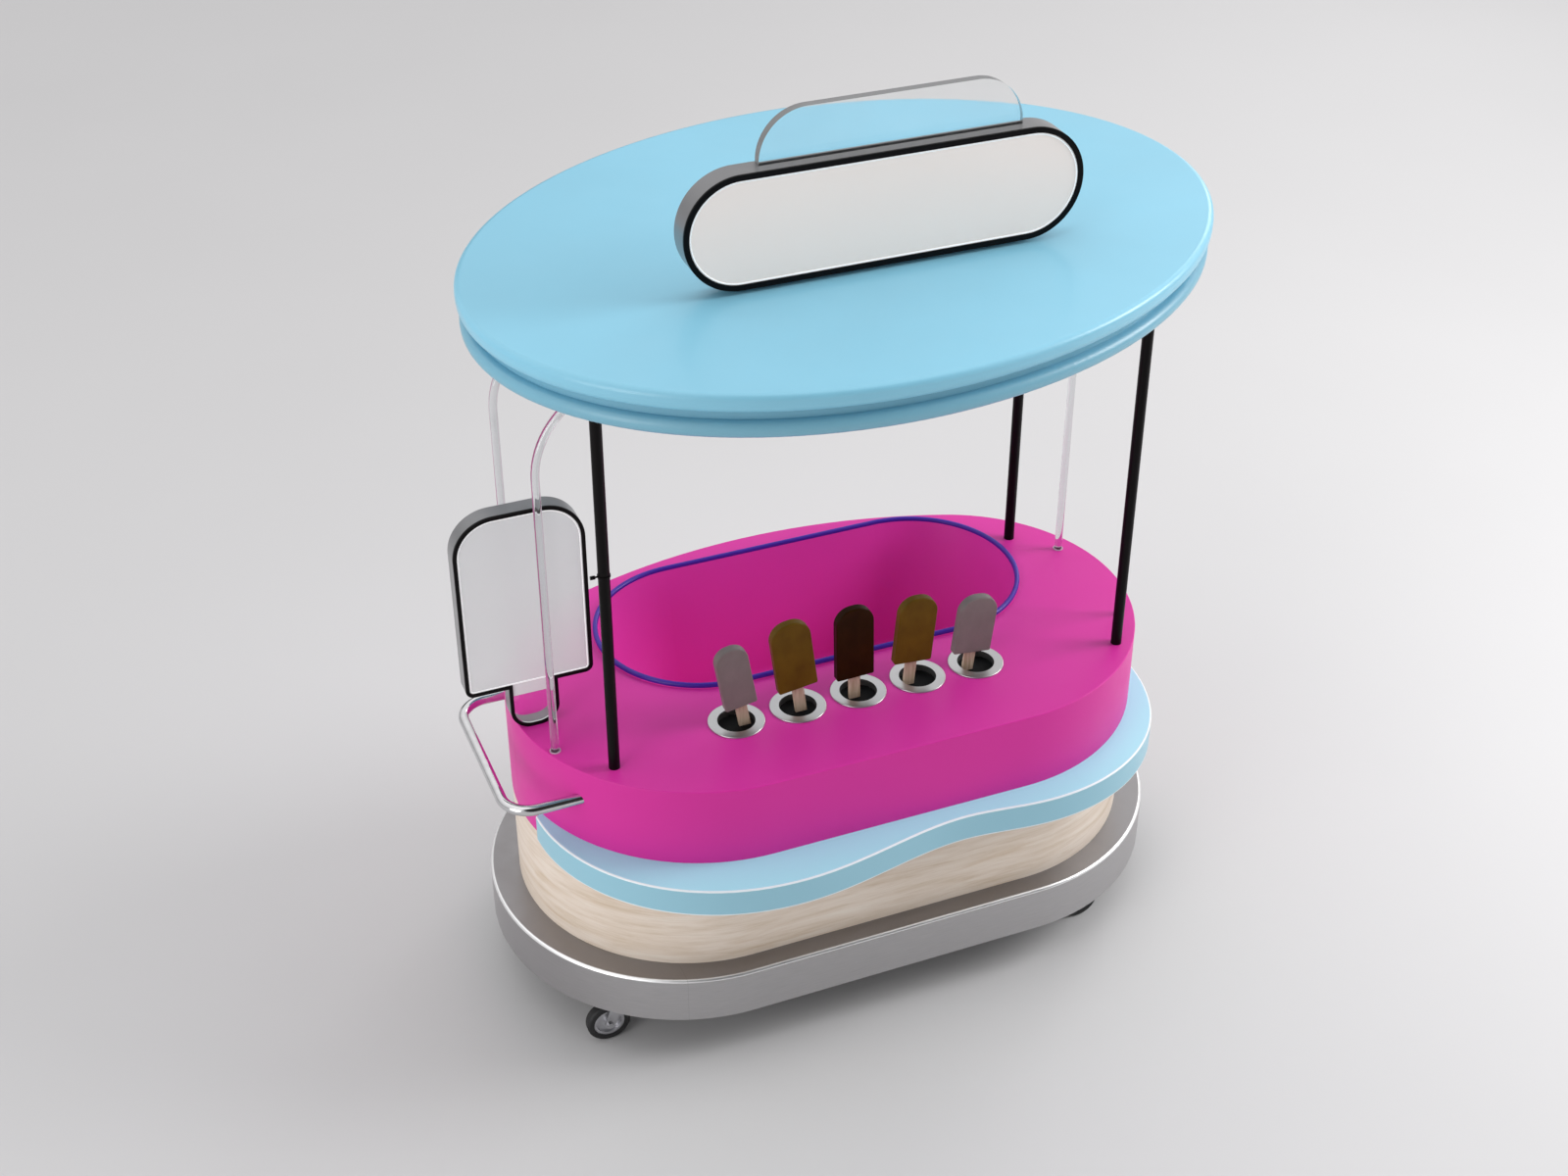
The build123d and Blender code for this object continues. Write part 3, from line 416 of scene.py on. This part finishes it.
def rounded_outline(low, high, radii):
    """Points and outward normals round a rectangle with a radius for each corner, from the top right on."""
    places = []
    outward = []
    corners = (
        (high[0], high[1], 1, 1),
        (low[0], high[1], -1, 1),
        (low[0], low[1], -1, -1),
        (high[0], low[1], 1, -1),
    )
    for quarter, ((x, z, along, up), radius) in enumerate(zip(corners, radii)):
        for step in range(CORNER_STEPS + 1):
            turn = (quarter + step / CORNER_STEPS) * pi / 2
            normal = (cos(turn), sin(turn))
            outward.append(normal)
            places.append((x - along * radius + radius * normal[0], z - up * radius + radius * normal[1]))
    return places, outward


def face_line(name, node, radii, lift=0.0):
    """A half-round bead that follows the border of an upright face, from a lift above its lowest edge."""
    (left, front, bottom), (right, _, top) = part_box(node)
    places, outward = rounded_outline((left, bottom + lift), (right, top), radii)
    shape = bmesh.new()
    loops = []
    for (x, z), (nx, nz) in zip(places, outward):
        loop = []
        for ring in range(LINE_RINGS + 1):
            turn = pi * ring / LINE_RINGS
            back = LINE_INSET + LINE_WIDTH / 2 * (1 - cos(turn))
            depth = front + LINE_SINK - (LINE_RISE + LINE_SINK) * sin(turn)
            loop.append(shape.verts.new((x - nx * back, depth, z - nz * back)))
        loops.append(loop)
    for loop, following in zip(loops, loops[1:] + loops[:1]):
        for ring in range(LINE_RINGS):
            shape.faces.new((loop[ring], loop[ring + 1], following[ring + 1], following[ring]))
        shape.faces.new((loop[LINE_RINGS], loop[0], following[0], following[LINE_RINGS]))
    bmesh.ops.remove_doubles(shape, verts=shape.verts, dist=WELD)
    bmesh.ops.recalc_face_normals(shape, faces=shape.faces)
    for face in shape.faces:
        face.smooth = True
    mesh = bpy.data.meshes.new(name)
    shape.to_mesh(mesh)
    shape.free()
    line = bpy.data.objects.new(name, mesh)
    mesh.materials.append(line_painted_highlight.mat)
    bpy.context.scene.collection.objects.link(line)
    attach(line, "cart")


sign_low, sign_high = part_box("sign_face")
sign_round = (sign_high[2] - sign_low[2]) / 2
face_line("sign_line", "sign_face", (sign_round,) * 4)
face_line("board_line", "board_face", BOARD_ROUNDS, lift=BOARD_TAB)

# Floor

FLOOR_HALF = 60          # half the length of its side

floor_look = Look("floor", (0.602, 0.597, 0.602, 1), roughness=0.7)
floor_look.cloud(0.01, scale=0.6)
floor_mesh = bpy.data.meshes.new("floor")
plan = bmesh.new()
bmesh.ops.create_grid(plan, x_segments=1, y_segments=1, size=FLOOR_HALF)
plan.to_mesh(floor_mesh)
plan.free()
floor = bpy.data.objects.new("floor", floor_mesh)
floor_mesh.materials.append(floor_look.mat)
bpy.context.scene.collection.objects.link(floor)

# Light

CART_MIDDLE = (0, 0, 1.0)


def area_light(name, place, target, size, power):
    lamp = bpy.data.lights.new(name, "AREA")
    lamp.shape = "DISK"
    lamp.size = size
    lamp.energy = power
    obj = bpy.data.objects.new(name, lamp)
    obj.location = place
    obj.rotation_euler = (Vector(target) - Vector(place)).to_track_quat("-Z", "Y").to_euler()
    bpy.context.scene.collection.objects.link(obj)


area_light("right", (6.4, -1.7, 4.4), CART_MIDDLE, size=3.5, power=305)
area_light("left", (-9.6, -4.9, 3.4), CART_MIDDLE, size=6.5, power=330)
area_light("back", (7.5, 5.5, 5.0), (2.5, 3.0, 0.0), size=3.0, power=90)

# The room: grey low down, paler towards the ceiling, with two dim corners that bright metal mirrors

ROOM_LEVEL = 1.3
ROOM_TONES = ((0.05, 0.35), (0.6, 0.83), (0.97, 1.0))    # how far up a way points, and how pale it is
ROOM_GREEN = 0.995       # the green in the room's grey
DIM_CORNERS = (          # the way to each corner, and the cosines at its border and at its core
    ((0.08, -0.76, 0.6), 0.74, 0.88),
    ((0.12, 0.98, 0.1), 0.93, 0.975),
)
DIM_TONE = 0.03
BACKDROP_TONE = 0.5

world = bpy.data.worlds.new("studio")
bpy.context.scene.world = world
world.use_nodes = True
room = world.node_tree


def room_node(kind, **settings):
    made = room.nodes.new(kind)
    for key, value in settings.items():
        setattr(made, key, value)
    return made


way = room_node("ShaderNodeTexCoord").outputs["Generated"]
parts = room_node("ShaderNodeSeparateXYZ")
room.links.new(way, parts.inputs["Vector"])
height = room_node("ShaderNodeValToRGB")
while len(height.color_ramp.elements) < len(ROOM_TONES):
    height.color_ramp.elements.new(0.5)
for element, (place, grey) in zip(height.color_ramp.elements, ROOM_TONES):
    element.position = place
    element.color = (grey, grey * ROOM_GREEN, grey, 1)
room.links.new(parts.outputs["Z"], height.inputs["Fac"])
tone = height.outputs["Color"]
for corner, border, core in DIM_CORNERS:
    toward = room_node("ShaderNodeVectorMath", operation="DOT_PRODUCT")
    toward.inputs[1].default_value = Vector(corner).normalized()
    room.links.new(way, toward.inputs[0])
    dim = room_node("ShaderNodeMapRange", interpolation_type="SMOOTHSTEP")
    dim.inputs["From Min"].default_value = border
    dim.inputs["From Max"].default_value = core
    room.links.new(toward.outputs["Value"], dim.inputs["Value"])
    shade = room_node("ShaderNodeMix", data_type="RGBA")
    shade.inputs[MIX_ABOVE].default_value = (DIM_TONE, DIM_TONE, DIM_TONE, 1)
    room.links.new(dim.outputs["Result"], shade.inputs["Factor"])
    room.links.new(tone, shade.inputs[MIX_BELOW])
    tone = shade.outputs[MIX_RESULT]

# The camera sees a plain pale backdrop, also through clear pieces
rays = room_node("ShaderNodeLightPath")
seen = room_node("ShaderNodeMath", operation="MAXIMUM")
room.links.new(rays.outputs["Is Camera Ray"], seen.inputs[0])
room.links.new(rays.outputs["Is Transmission Ray"], seen.inputs[1])
backdrop = room_node("ShaderNodeMix", data_type="RGBA")
backdrop.inputs[MIX_ABOVE].default_value = (BACKDROP_TONE, BACKDROP_TONE, BACKDROP_TONE, 1)
room.links.new(seen.outputs["Value"], backdrop.inputs["Factor"])
room.links.new(tone, backdrop.inputs[MIX_BELOW])
room.links.new(backdrop.outputs[MIX_RESULT], room.nodes["Background"].inputs["Color"])
room.nodes["Background"].inputs["Strength"].default_value = ROOM_LEVEL

# Camera, at the photograph's angle

CAMERA_PLACE = (-1.993, -4.604, 4.479)
CAMERA_DOWN = 34.051     # degrees below level
CAMERA_TURN = -22.097    # degrees about the upright axis
LENS = 50.0
SENSOR = 36.0
SIGHT = 200.0

lens = bpy.data.cameras.new("camera")
lens.lens = LENS
lens.sensor_fit = "HORIZONTAL"
lens.sensor_width = SENSOR
lens.clip_end = SIGHT
camera = bpy.data.objects.new("camera", lens)
camera.location = CAMERA_PLACE
camera.rotation_euler = (radians(90 - CAMERA_DOWN), 0, radians(CAMERA_TURN))
bpy.context.scene.collection.objects.link(camera)
bpy.context.scene.camera = camera

bpy.context.scene.view_settings.view_transform = "Standard"
